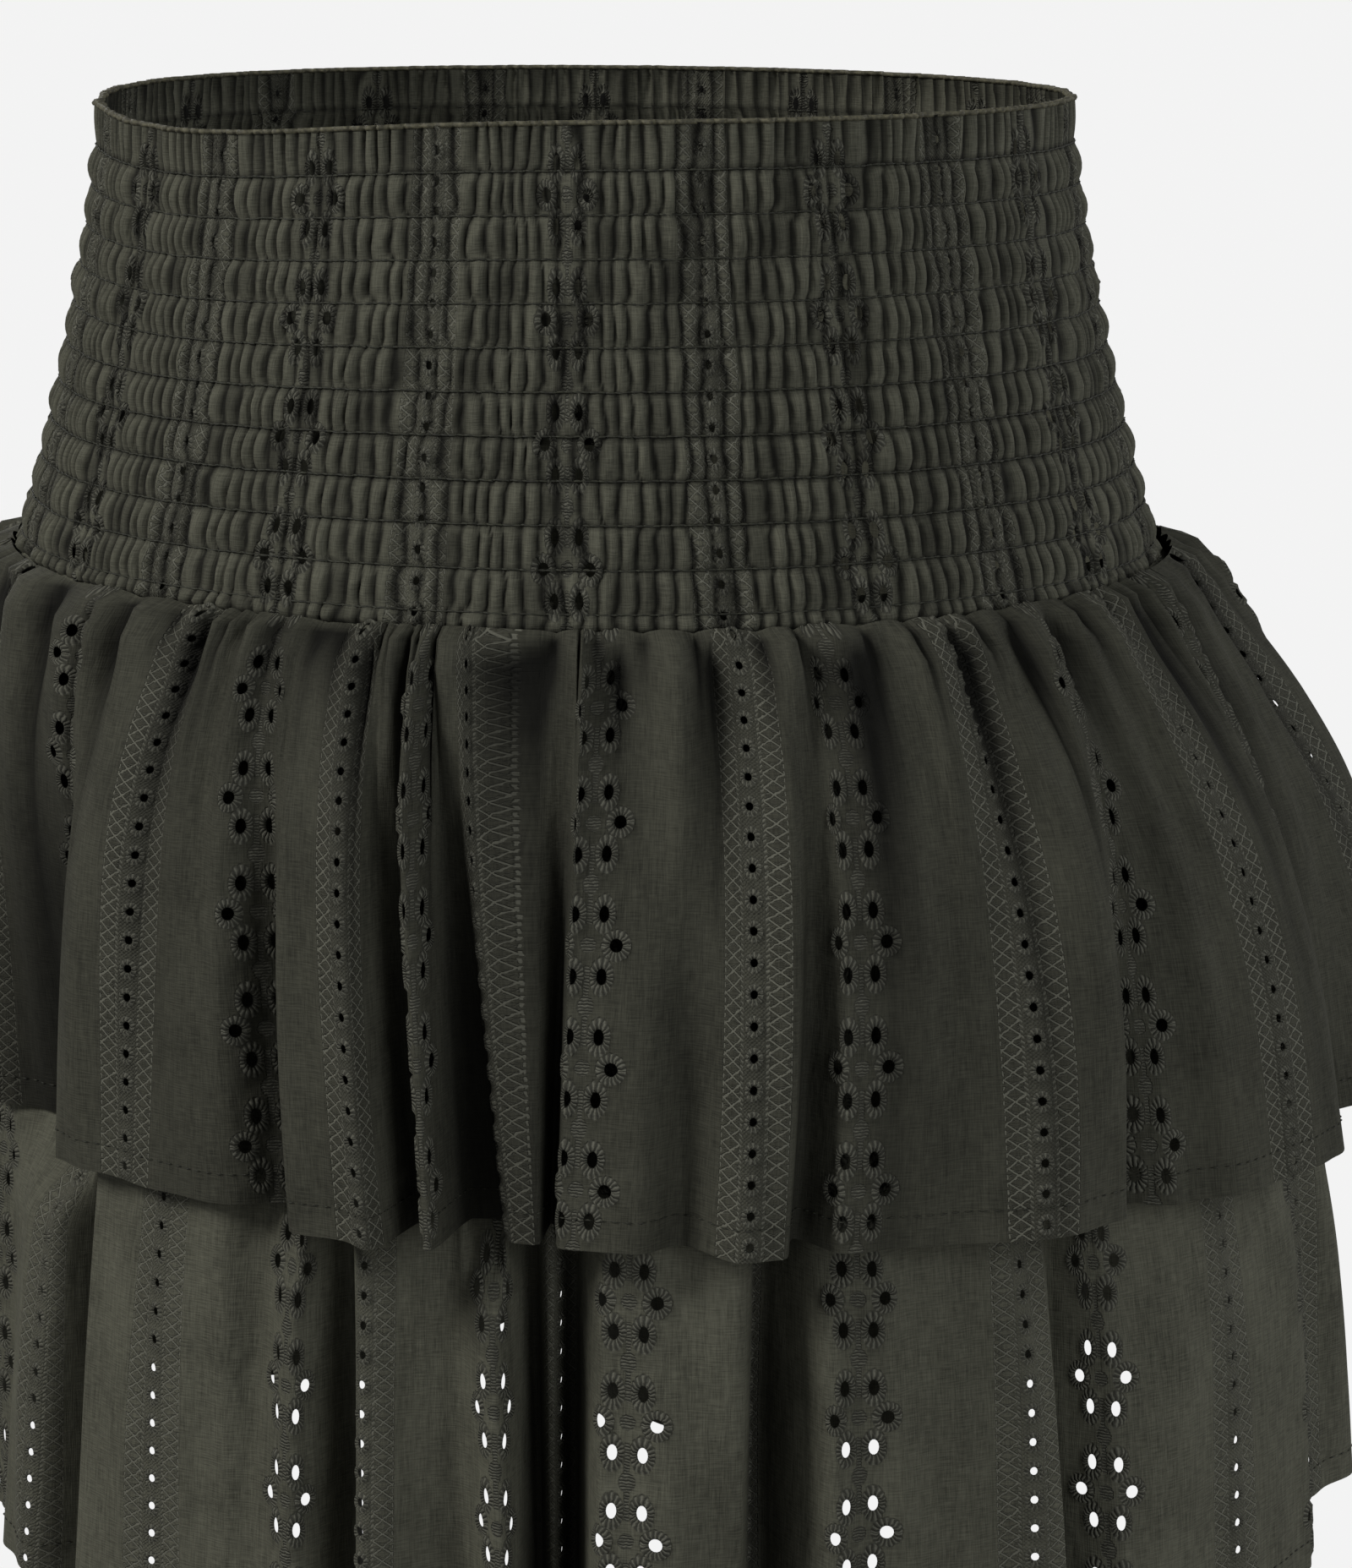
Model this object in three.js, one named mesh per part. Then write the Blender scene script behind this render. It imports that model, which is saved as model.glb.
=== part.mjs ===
// A skort in embroidered cotton: a shirred yoke, two ruffle tiers and plain inner shorts, worn form, hollow.
// Millimetres, +Z up. The origin is the middle of the waist rim, the front faces -Y, and +X is the viewer's right.
import * as THREE from 'three';
import { mergeVertices } from 'three/addons/utils/BufferGeometryUtils.js';

// Driving dimensions
const GAP = 0.3; // left between two pieces at a seam
const CLOTH = '#3d3e36';

// The yoke: half width = rim + flare * u + curve * u^2, where u is the depth below the rim in units of 100 mm.
const YOKE = { depth: 110, rim: 119, flare: 12, curve: 9, roundness: 0.868, wall: 1.2 };
const SHIRRING = { heading: 10.4, pitch: 9.6, rows: 11, low: 0.2, crest: 1.6, sunk: -0.1 };
const RIM_DIP = { turn: -38, spread: 34, drop: 5 };
const PUCKERS = { perHalf: 32, insideColumns: 24, insideRows: 5 };

// Each tier starts under the yoke's lower edge, 'inset' inside its stitched face.
const UPPER = { wall: 1.3, inset: -1.1, columns: 84, gathers: 29, gatherDepth: 2.4 };
const LOWER = { wall: 1.3, inset: 0.5, columns: 64, gathers: 23, gatherDepth: 1.2 };

// Outline of each tier at its levels: half width, half depth, shift to +X, share of the hem's folds and of the gathers.
const UPPER_LEVELS = [
  { z: -110.3, wide: 143.2, deep: 124.3, shift: 0, folds: 0, gathers: 0 },
  { z: -119, wide: 151, deep: 132, shift: 1, folds: 0.12, gathers: 1 },
  { z: -140, wide: 165, deep: 146, shift: 4, folds: 0.4, gathers: 0.8 },
  { z: -170, wide: 176, deep: 157, shift: 9, folds: 0.7, gathers: 0.25 },
  { z: -205, wide: 181, deep: 163, shift: 14, folds: 0.9, gathers: 0 },
  { z: -240, wide: 183, deep: 166, shift: 17, folds: 1, gathers: 0 },
];
const LOWER_LEVELS = [
  { z: -110.3, wide: 143.2, deep: 124.3, shift: 0, folds: 0, gathers: 0 },
  { z: -124, wide: 147, deep: 128, shift: 1, folds: 0.05, gathers: 1 },
  { z: -165, wide: 158, deep: 139, shift: 6, folds: 0.35, gathers: 0.3 },
  { z: -225, wide: 167, deep: 148, shift: 13, folds: 0.55, gathers: 0 },
  { z: -290, wide: 174, deep: 155, shift: 15, folds: 0.9, gathers: 0 },
  { z: -348, wide: 177, deep: 158, shift: 15, folds: 1, gathers: 0 },
];

// Folds of the hems, one row for each crest, flank or valley: its turn from the front in degrees,
// how far it stands out of the outline, and its lean, the turn that it has more of at the seam.
const UPPER_FOLDS = [
  { turn: -172, out: 7, lean: 2 }, { turn: -163, out: -9, lean: 0 }, { turn: -152, out: 6, lean: 2 },
  { turn: -143, out: 7, lean: 0 }, { turn: -136, out: -10, lean: -2 }, { turn: -124, out: 5, lean: 0 },
  { turn: -116, out: 8, lean: 2 }, { turn: -109, out: -8, lean: 0 }, { turn: -97, out: 6, lean: -2 },
  { turn: -88, out: 7, lean: 0 }, { turn: -80, out: -8, lean: 2 }, { turn: -69, out: 4, lean: 4 },
  { turn: -60, out: 2, lean: 4 }, { turn: -46, out: -14, lean: 5 }, { turn: -33, out: 1, lean: 5 },
  { turn: -18, out: 0, lean: 3 }, { turn: -9, out: -10, lean: 2 }, { turn: 3.5, out: 3, lean: 0 },
  { turn: 8.5, out: 0, lean: -1 }, { turn: 12.5, out: -16, lean: -2 }, { turn: 19, out: -3, lean: -1 },
  { turn: 27, out: -2, lean: 0 }, { turn: 33, out: 1, lean: 0 }, { turn: 36.2, out: -9, lean: -2 },
  { turn: 41, out: 1, lean: -1 }, { turn: 50, out: 2, lean: 0 }, { turn: 59, out: 5, lean: 0 },
  { turn: 63, out: -5, lean: 0 }, { turn: 72, out: 3, lean: 1 }, { turn: 81, out: 5, lean: 2 },
  { turn: 88, out: -7, lean: 2 }, { turn: 98, out: 5, lean: 0 }, { turn: 107, out: 6, lean: 0 },
  { turn: 114, out: -9, lean: -2 }, { turn: 126, out: 7, lean: 0 }, { turn: 137, out: 3, lean: 2 },
  { turn: 144, out: -9, lean: 0 }, { turn: 155, out: 7, lean: -2 }, { turn: 166, out: 5, lean: 0 },
  { turn: 177, out: -9, lean: 0 },
];
const LOWER_FOLDS = [
  { turn: -170, out: 5, lean: 0 }, { turn: -160, out: -8, lean: 0 }, { turn: -148, out: 5, lean: 0 },
  { turn: -135, out: -8, lean: 0 }, { turn: -120, out: 6, lean: 0 }, { turn: -108, out: -8, lean: 0 },
  { turn: -94, out: 6, lean: 0 }, { turn: -80, out: -7, lean: 0 }, { turn: -64, out: 4, lean: 2 },
  { turn: -47, out: -12, lean: 4 }, { turn: -33, out: 0, lean: 4 }, { turn: -22, out: 2, lean: 2 },
  { turn: -12, out: -8, lean: 2 }, { turn: 1, out: 4, lean: 0 }, { turn: 11, out: -9, lean: 0 },
  { turn: 19, out: 3, lean: 0 }, { turn: 32, out: 4, lean: 0 }, { turn: 36.5, out: -9, lean: 0 },
  { turn: 43, out: 4, lean: 0 }, { turn: 55, out: 5, lean: 0 }, { turn: 60, out: -7, lean: 0 },
  { turn: 70, out: 5, lean: 0 }, { turn: 83, out: 4, lean: 0 }, { turn: 90, out: -8, lean: 0 },
  { turn: 103, out: 6, lean: 0 }, { turn: 115, out: -8, lean: 0 }, { turn: 129, out: 6, lean: 0 },
  { turn: 143, out: -8, lean: 0 }, { turn: 157, out: 6, lean: 0 }, { turn: 175, out: -8, lean: 0 },
];

// Inner shorts, a row for each level of one leg: the outer side's distance from the middle, half depth,
// how far the leg's inner side is from the middle, and 'open', the angle at which the rise parts the leg.
const SHORTS = { wall: 1.2, columns: 18 };
const SHORTS_LEVELS = [
  { z: -104, side: 139.2, deep: 120.2, inner: 0.15, open: 90 },
  { z: -140, side: 138, deep: 118.5, inner: 0.15, open: 90 },
  { z: -185, side: 139, deep: 117, inner: 0.15, open: 90 },
  { z: -225, side: 136, deep: 108, inner: 0.15, open: 62 },
  { z: -250, side: 134, deep: 102, inner: 0.15, open: 34 },
  { z: -262, side: 132, deep: 98, inner: 0.3, open: 0.1 },
  { z: -305, side: 129, deep: 92, inner: 5, open: 0.1 },
];

const radians = (degrees) => (degrees * Math.PI) / 180;
const mix = (a, b, share) => a + (b - a) * share;
const ease = (share) => share * share * (3 - 2 * share);

// Distance from the axis to an ellipse in the direction 'turn', the ellipse being moved by 'shift' along X.
function outline(wide, deep, shift, turn) {
  const x = Math.sin(turn) / wide;
  const y = Math.cos(turn) / deep;
  const square = x * x + y * y;
  const moved = (x * shift) / wide;
  const rest = (shift / wide) ** 2 - 1;
  return (moved + Math.sqrt(moved * moved - square * rest)) / square;
}

// The point at a turn from the front, a distance from the axis and a height.
const place = (turn, distance, z) => [distance * Math.sin(turn), -distance * Math.cos(turn), z];

// Reads a column of a table of rows that go round the waist, smoothly between the rows.
function around(rows, column, degrees) {
  const last = rows.length - 1;
  const next = rows.findIndex((row) => row.turn > degrees);
  const after = rows[next < 0 ? 0 : next];
  const before = rows[next <= 0 ? last : next - 1];
  const span = (after.turn - before.turn + 360) % 360;
  const share = ((degrees - before.turn + 360) % 360) / span;
  return mix(before[column], after[column], ease(share));
}

// Triangles of a grid of points, row by row; 'turned' flips the side that they face.
function gridFaces(grid, turned) {
  const faces = [];
  for (let row = 0; row + 1 < grid.length; row += 1) {
    for (let column = 0; column + 1 < grid[row].length; column += 1) {
      const a = grid[row][column];
      const b = grid[row][column + 1];
      const c = grid[row + 1][column + 1];
      const d = grid[row + 1][column];
      faces.push(...(turned ? [[a, b, c], [a, c, d]] : [[a, c, b], [a, d, c]]));
    }
  }
  return faces;
}

// Joins two edges that run side by side with different numbers of points, always to the one that lags.
function joinEdges(first, second, turned) {
  const faces = [];
  let i = 0;
  let j = 0;
  while (i < first.length - 1 || j < second.length - 1) {
    const firstLags = (i + 1) / (first.length - 1) <= (j + 1) / (second.length - 1);
    const useFirst = j === second.length - 1 || (i < first.length - 1 && firstLags);
    const face = useFirst ? [first[i], second[j], first[i + 1]] : [first[i], second[j], second[j + 1]];
    faces.push(turned ? [face[0], face[2], face[1]] : face);
    i += useFirst ? 1 : 0;
    j += useFirst ? 0 : 1;
  }
  return faces;
}

// A closed wall between an outer and an inner sheet: both sheets and the strips along their four edges.
function wallBetween(outer, inner) {
  const side = (grid, column) => grid.map((row) => row.at(column));
  const faces = [
    ...gridFaces(outer, false),
    ...gridFaces(inner, true),
    ...joinEdges(outer[0], inner[0], true),
    ...joinEdges(outer.at(-1), inner.at(-1), false),
    ...joinEdges(side(outer, 0), side(inner, 0), false),
    ...joinEdges(side(outer, -1), side(inner, -1), true),
  ];
  const geometry = new THREE.BufferGeometry();
  geometry.setAttribute('position', new THREE.Float32BufferAttribute(faces.flat(2), 3));
  return mergeVertices(geometry, 1e-3);
}

// The turns of a half's columns: the front half runs from -90 to 90 degrees, the back half from 90 to 270.
function halfTurns(columns, back) {
  const start = back ? 90 : -90;
  return Array.from({ length: columns + 1 }, (_, i) => start + (180 * i) / columns);
}

// Moves a half's end columns to its side of the side seams, half a gap from the middle plane.
function trimmed(grid, back) {
  const seam = (back ? 1 : -1) * (GAP / 2);
  for (const row of grid) {
    for (const point of [row[0], row.at(-1)]) {
      point[1] = seam;
    }
  }
  return grid;
}

// The yoke's stitched face at a depth and turn.
function yokeRadius(z, turn) {
  const u = -z / 100;
  const wide = YOKE.rim + YOKE.flare * u + YOKE.curve * u * u;
  return outline(wide, wide * YOKE.roundness, 0, turn);
}

// The rim dips a little to the front left; the dip fades towards the seam.
function dipped(z, degrees) {
  const away = (((degrees - RIM_DIP.turn + 540) % 360) - 180) / RIM_DIP.spread;
  return z - RIM_DIP.drop * Math.exp(-away * away) * (1 + z / YOKE.depth);
}

// How far a pucker stands up, from 0 to 1: crests and troughs alternate, and shift unevenly from row to row.
function puckerHeight(column, puff) {
  const shift = Math.round(Math.abs(Math.sin(puff * 12.9)) * 3);
  const crest = (column + shift) % 2 === 0;
  const uneven = 0.5 + 0.5 * Math.sin(column * 2.39 + puff * 1.7);
  return crest ? 0.7 + 0.3 * uneven : 0.25 * uneven;
}

// Heights of the shirring rows between the rim and the seam.
function shirringHeights() {
  const rows = Array.from({ length: SHIRRING.rows }, (_, i) => -SHIRRING.heading - SHIRRING.pitch * i);
  return [0, ...rows, -YOKE.depth];
}

// The yoke's outer face: sunk at every stitched row, puffed and puckered between two rows.
function yokeFace(back) {
  const turns = halfTurns(2 * PUCKERS.perHalf, back);
  const heights = shirringHeights();
  const stitched = (z) => turns.map((degrees) => {
    const turn = radians(degrees);
    return place(turn, yokeRadius(z, turn) + SHIRRING.sunk, dipped(z, degrees));
  });
  const puffed = (z, puff) => turns.map((degrees, column) => {
    const turn = radians(degrees);
    const height = mix(SHIRRING.low, SHIRRING.crest, puckerHeight(column, puff));
    return place(turn, yokeRadius(z, turn) + height, dipped(z, degrees));
  });
  const rows = heights.slice(1).flatMap((z, puff) => [puffed((heights[puff] + z) / 2, puff), stitched(z)]);
  return trimmed([stitched(0), ...rows], back);
}

// The yoke's inside is plain.
function yokeLining(back) {
  const turns = halfTurns(PUCKERS.insideColumns, back);
  const rows = Array.from({ length: PUCKERS.insideRows + 1 }, (_, i) => {
    const z = (-YOKE.depth * i) / PUCKERS.insideRows;
    return turns.map((degrees) => {
      const turn = radians(degrees);
      return place(turn, yokeRadius(z, turn) - YOKE.wall, dipped(z, degrees));
    });
  });
  return trimmed(rows, back);
}

// A tier's distance from the axis at a level: the body at the leant turn, with the folds and gathers of the cloth.
function tierRadius(tier, folds, level, degrees, lean) {
  const turn = radians(degrees);
  const wave = Math.sin(turn * tier.gathers + 2.2 * Math.sin(3 * turn) + 1.3 * Math.sin(7 * turn));
  const fold = around(folds, 'out', degrees);
  const body = outline(level.wide - tier.inset, level.deep - tier.inset, level.shift, radians(degrees + lean));
  return body + fold * level.folds + wave * tier.gatherDepth * level.gathers;
}

// One face of a tier, 'within' mm inside its outer face, measured square to the fold's flank.
function tierFace(tier, levels, folds, back, within) {
  const bottom = levels.at(-1).z;
  const rows = levels.map((level) => halfTurns(tier.columns, back).map((column) => {
    const degrees = ((column + 180) % 360) - 180;
    const raised = (level.z - bottom) / (levels[0].z - bottom);
    const lean = around(folds, 'lean', degrees) * raised;
    const here = tierRadius(tier, folds, level, degrees, lean);
    const slope = (tierRadius(tier, folds, level, degrees + 0.5, lean) - here) / (here * radians(0.5));
    const square = Math.min(Math.hypot(1, slope), 1.8);
    return place(radians(degrees + lean), here - within * square, level.z);
  }));
  return trimmed(rows, back);
}

function yokeGeometry(back) {
  return wallBetween(yokeFace(back), yokeLining(back));
}

function tierGeometry(tier, levels, folds, back) {
  const outer = tierFace(tier, levels, folds, back, 0);
  return wallBetween(outer, tierFace(tier, levels, folds, back, tier.wall));
}

// One leg's face, from its front edge round the outer side to its back edge. 'hand' is 1 on +X and -1 on -X.
function shortsFace(hand, within) {
  return SHORTS_LEVELS.map(({ z, side, deep, inner, open }) => {
    const cut = radians(open);
    const wide = (side - inner) / (1 + Math.cos(cut));
    const middle = side - wide;
    return Array.from({ length: SHORTS.columns + 1 }, (_, i) => {
      const turn = mix(cut, 2 * Math.PI - cut, i / SHORTS.columns);
      const x = middle - (wide - within) * Math.cos(turn);
      return [hand * x, -(deep - within) * Math.sin(turn), z];
    });
  });
}

// The left leg is the right one mirrored, so its rows run the other way to keep the wall facing out.
function shortsGeometry(hand) {
  const faces = [shortsFace(hand, 0), shortsFace(hand, SHORTS.wall)];
  const turned = faces.map((grid) => (hand < 0 ? grid.map((row) => [...row].reverse()) : grid));
  return wallBetween(...turned);
}

// Places a named piece in the same cotton as the rest.
function addPiece(group, name, geometry) {
  const cotton = new THREE.MeshStandardMaterial({ color: CLOTH, roughness: 0.9, metalness: 0 });
  const mesh = new THREE.Mesh(geometry, cotton);
  mesh.name = name;
  group.add(mesh);
}

const skort = new THREE.Group();
for (const half of ['front', 'back']) {
  const back = half === 'back';
  addPiece(skort, `band_${half}`, yokeGeometry(back));
  addPiece(skort, `upper_tier_${half}`, tierGeometry(UPPER, UPPER_LEVELS, UPPER_FOLDS, back));
  addPiece(skort, `lower_tier_${half}`, tierGeometry(LOWER, LOWER_LEVELS, LOWER_FOLDS, back));
}
addPiece(skort, 'shorts_right', shortsGeometry(1));
addPiece(skort, 'shorts_left', shortsGeometry(-1));

export default skort;
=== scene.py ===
"""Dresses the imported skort: a shirred yoke, two gathered ruffles and inner shorts in eyelet cotton.

Sizes are in millimetres, in the frame of the solids: the origin is the middle of the waist rim, +Z is up,
the front faces -Y. A 'turn' is an angle round the waist, in degrees from the front towards +X.
"""

from functools import partialmethod

import bpy
import numpy as np
from bpy.props import FloatProperty, FloatVectorProperty, IntProperty, PointerProperty
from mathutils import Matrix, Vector
from mathutils.geometry import delaunay_2d_cdt


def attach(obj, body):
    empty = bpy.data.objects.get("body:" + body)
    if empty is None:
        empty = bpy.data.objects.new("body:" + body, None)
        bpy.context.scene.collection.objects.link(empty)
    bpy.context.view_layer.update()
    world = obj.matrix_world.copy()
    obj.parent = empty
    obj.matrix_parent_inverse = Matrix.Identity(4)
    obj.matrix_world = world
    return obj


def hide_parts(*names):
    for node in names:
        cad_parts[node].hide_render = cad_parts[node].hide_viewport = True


bl_info = {
    "name": "Skort with a shirred yoke",
    "version": (1, 0, 0),
    "blender": (4, 5, 0),
    "location": "View3D > Sidebar > Skort",
    "description": "Makes a ruffled skort in embroidered eyelet cotton from its flat pattern",
    "category": "Add Mesh",
}

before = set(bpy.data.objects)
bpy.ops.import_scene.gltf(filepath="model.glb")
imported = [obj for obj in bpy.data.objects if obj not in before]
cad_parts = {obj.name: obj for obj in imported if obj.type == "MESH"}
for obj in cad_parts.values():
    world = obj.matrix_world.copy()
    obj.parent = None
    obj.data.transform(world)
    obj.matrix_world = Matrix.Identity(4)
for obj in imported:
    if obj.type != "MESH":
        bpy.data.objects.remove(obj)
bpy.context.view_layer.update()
MM = 0.001

# The yoke: half width = rim + flare * u + curve * u^2, where u is the depth in units of 100 mm.
YOKE = {"depth": 110.0, "rim": 119.0, "flare": 12.0, "curve": 9.0, "roundness": 0.868}
SHIRRING = {"heading": 10.4, "pitch": 9.6, "rows": 11}
RIM_DIP = {"turn": -38.0, "spread": 34.0, "drop": 5.0}

# Outlines of the tiers: height, half width, half depth, shift to +X, share of the hem's folds.
LEVEL_COLUMNS = ("z", "wide", "deep", "shift", "folds")
UPPER_LEVELS = (
    (-110.2, 143.8, 124.9, 0, 0),
    (-119, 151.6, 132.6, 1, 0.12),
    (-140, 165.6, 146.6, 4, 0.4),
    (-170, 176.6, 157.6, 9, 0.7),
    (-205, 181.6, 163.6, 14, 0.9),
    (-240, 183.6, 166.6, 17, 1),
)
LOWER_LEVELS = (
    (-110.2, 142.4, 123.5, 0, 0),
    (-124, 146, 127, 1, 0.05),
    (-165, 157, 138, 6, 0.35),
    (-225, 166, 147, 13, 0.55),
    (-290, 173, 154, 15, 0.9),
    (-348, 176, 157, 15, 1),
)

# Crests and valleys of the hems: turn, and how far out of the outline.
FOLD_COLUMNS = ("turn", "out")
UPPER_FOLDS = (
    (-172, 7), (-163, -16), (-152, 6), (-143, 7), (-136, -18), (-124, 5), (-116, 8), (-109, -13),
    (-97, 6), (-88, 7), (-80, -14), (-69, 0), (-60, -6), (-52, -13), (-47, -22), (-42, -27), (-37, -25),
    (-32.5, -8), (-26, -8), (-21.5, -9), (-17, -10), (-12.5, -9.1), (-7, -18), (-3.5, -3), (1, -2),
    (3.5, 1.4), (5.6, -18.7), (7.8, -1), (9.8, -26), (12.2, -26), (14, -13.5), (16.1, -13), (16.9, -26),
    (17.8, -9), (19.5, -8), (23.5, -7), (27, -13), (31.5, -4), (34, -4), (36.2, -18.4), (38.4, -5),
    (42, -4), (50, -5), (54, -4), (59.6, -3), (62, -12.6), (65, -4.2), (72.5, -1), (81, 2), (88, -10),
    (98, 5), (107, 6), (114, -17), (126, 7), (137, 3), (144, -15), (155, 7), (166, 5), (177, -16),
)
LOWER_FOLDS = (
    (-170, 5), (-160, -14), (-148, 5), (-135, -13), (-120, 6), (-108, -14), (-94, 6), (-80, -12),
    (-64, 4), (-52, -4), (-44, 2), (-38, 3), (-34.5, -23), (-31, 3), (-22, 2), (-14, 1),
    (-11, -3), (-6, 2), (-2.5, -15.5), (1.2, 3), (8.5, -10.8), (13.1, 2), (15.4, -25), (16.9, -15),
    (18.4, -25), (20.6, 3), (25, 3), (31, 2), (35, -22), (38.5, 3), (45, 2), (52, 3),
    (56, 3), (58.4, -13.5), (61, 4), (70, 5), (83, 4), (90, -12), (103, 6), (115, -14),
    (129, 6), (143, -13), (157, 6), (175, -14),
)
# How far round a place at the hem is carried at the seam: turn at the hem, and the turn added.
LEAN_COLUMNS = ("turn", "lean")
UPPER_LEANS = (
    (-160, 2), (-125, -2), (-90, 1), (-46, -2.6), (-33, 0.6), (-23.6, 2.2), (-8.5, -3.3), (3, -5.1),
    (8, -3.2), (13, -5), (15.2, -4.6), (17, 2.2), (19.3, 2.6), (31, 2.8), (39, 3.1), (53, 2), (64, 0.9),
    (76, -1.5), (88, -4), (110, 1), (140, -2),
)
LOWER_LEANS = (
    (-150, 2), (-100, -2), (-64, 2), (-40, 3), (-22, 1), (0, -1), (12, -2), (22, 2), (60, 0), (110, 2),
)

# One leg of the inner shorts at its levels, as the solids have it.
SHORTS_COLUMNS = ("z", "side", "deep", "inner", "open")
SHORTS_LEVELS = (
    (-104, 138.9, 119.9, 0.0, 90),
    (-140, 137.6, 118.1, 0.0, 90),
    (-185, 138.6, 116.6, 0.0, 90),
    (-225, 135.6, 107.6, 0.0, 62),
    (-250, 133.6, 101.6, 0.0, 34),
    (-262, 131.6, 97.6, 0.1, 0.1),
    (-305, 128.6, 91.6, 5, 0.1),
)

# The embroidered cloth: flower stripes and ladder stripes by turns, in repeats. A petal's eyelet has its
# centre from the flower's middle, its half width and half height, and the width of its stitched border.
REPEAT = {"across": 85.0, "along": 27.0, "flower": 21.25, "ladder": 63.75}
PETALS = ((3.4, 6.9, 1.15, 1.8, 1.6), (6.5, 0.0, 1.5, 1.5, 2.0))
LEAF = {"half_wide": 1.9, "half_high": 2.4}
LADDER = {"pitch": 6.75, "hole": 0.85, "border": 1.3, "cord": 3.0, "edge": 8.0, "cross": 3.2}
BAND_FLAT = {"around": 1020.0, "anchor_turn": 18.2}

# The yoke's puckers, in mm and in shares of one pucker.
PUCKER = {
    "width": 5.2, "drift": 0.7, "slant": 0.75, "pinch": 2.6, "shift": 0.6, "bold": 0.25,
    "round": 0.7, "split": 0.16, "face": 1.0,
}
# Where embroidery keeps the puckers flat: the stripes' half widths, and the height left.
STIFF = {"flower": 10.0, "ladder": 8.5, "left": 0.55}

# Gathers below a ruffle's seam: spacing, how far down they reach, and how much they wander and stand out.
SMALL_GATHER = {"width": 19.0, "reach": 13.0, "out": 4.4, "varied": 1.8}
LARGE_GATHER = {"width": 37.0, "reach": 42.0, "out": 7.0}
GATHER_WANDER = 1.5

# The right side seam lifts the ruffles a little: its turn, spread round, reach down and height.
SIDE_LIFT = {"turn": 97, "spread": 26, "reach": 9, "height": 1.5}

# How far under the upper ruffle the lower one stays, how softly, and from which height it hangs free.
UNDER = {"gap": 1.8, "soft": 1.5, "free": -236, "over": 26}

HEM = 7.0

# Height of the cloth's fine wrinkles, in units of its yarns.
WRINKLE = 16.0
HEM_STITCH = {"pitch": 3.0, "length": 2.4, "radius": 0.22, "lift": 0.2}
SHIRRING_THREAD = {"samples": 1640, "radius": 0.3, "pinched": 0.13, "every": 4, "lift": 0.42}
OVERLOCK = {"samples": 1500, "radius": 0.62, "uneven": 0.22, "pitch": 1.36, "lift": 0.15}


def rows_of(table, columns):
    """A table's columns as arrays by name."""
    return {name: np.array([row[i] for row in table], float) for i, name in enumerate(columns)}


def ease(share):
    return share * share * (3 - 2 * share)


def around(folds, column, turns):
    """A fold table's column at any turns, eased between its rows and closed round the waist."""
    knots = np.concatenate([folds["turn"], [folds["turn"][0] + 360]])
    values = np.concatenate([folds[column], folds[column][:1]])
    at = (turns - knots[0]) % 360 + knots[0]
    low = np.clip(np.searchsorted(knots, at, side="right") - 1, 0, len(knots) - 2)
    share = ease((at - knots[low]) / (knots[low + 1] - knots[low]))
    return values[low] + (values[low + 1] - values[low]) * share


def smooth_table(knots, values, at):
    """Values between knots on a smooth curve that doesn't overshoot."""
    step = np.diff(knots)
    slope = np.diff(values) / step
    tangent = np.zeros(len(knots))
    rising = slope[:-1] * slope[1:] > 0
    safe = np.where(rising, slope[:-1] + slope[1:], 1)
    tangent[1:-1] = np.where(rising, 2 * slope[:-1] * slope[1:] / safe, 0)
    tangent[0], tangent[-1] = slope[0], slope[-1]
    low = np.clip(np.searchsorted(knots, at, side="right") - 1, 0, len(step) - 1)
    width = step[low]
    t = np.clip((at - knots[low]) / width, 0, 1)
    start = (1 + 2 * t) * (1 - t) ** 2 * values[low] + t * (1 - t) ** 2 * width * tangent[low]
    end = t * t * (3 - 2 * t) * values[low + 1] - t * t * (1 - t) * width * tangent[low + 1]
    return start + end


def outline(wide, deep, shift, turns):
    """Distance from the axis to an ellipse that is moved by shift along X."""
    a = np.radians(turns)
    x, y = np.sin(a) / wide, np.cos(a) / deep
    square = x * x + y * y
    moved = x * shift / wide
    return (moved + np.sqrt(moved * moved - square * ((shift / wide) ** 2 - 1))) / square


def place(turns, distance, z):
    a = np.radians(turns)
    return np.stack([distance * np.sin(a), -distance * np.cos(a), z], -1)


def wander(seed, lengths, period):
    """A smooth random curve round a seam that is period long, from waves of about these lengths in mm."""
    random = np.random.default_rng(seed)
    waves = 26
    pitch = 2 * np.pi / period * np.round(period / random.uniform(*lengths, waves))
    phase = random.uniform(0, 2 * np.pi, waves)
    height = random.uniform(0.6, 1.0, waves) * np.sqrt(2.0 / waves)

    def curve(at):
        flat = np.asarray(at, float).ravel()
        total = np.zeros(len(flat))
        for p, f, h in zip(pitch, phase, height):
            total += h * np.sin(p * flat + f)
        return total.reshape(np.shape(at))

    return curve


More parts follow.
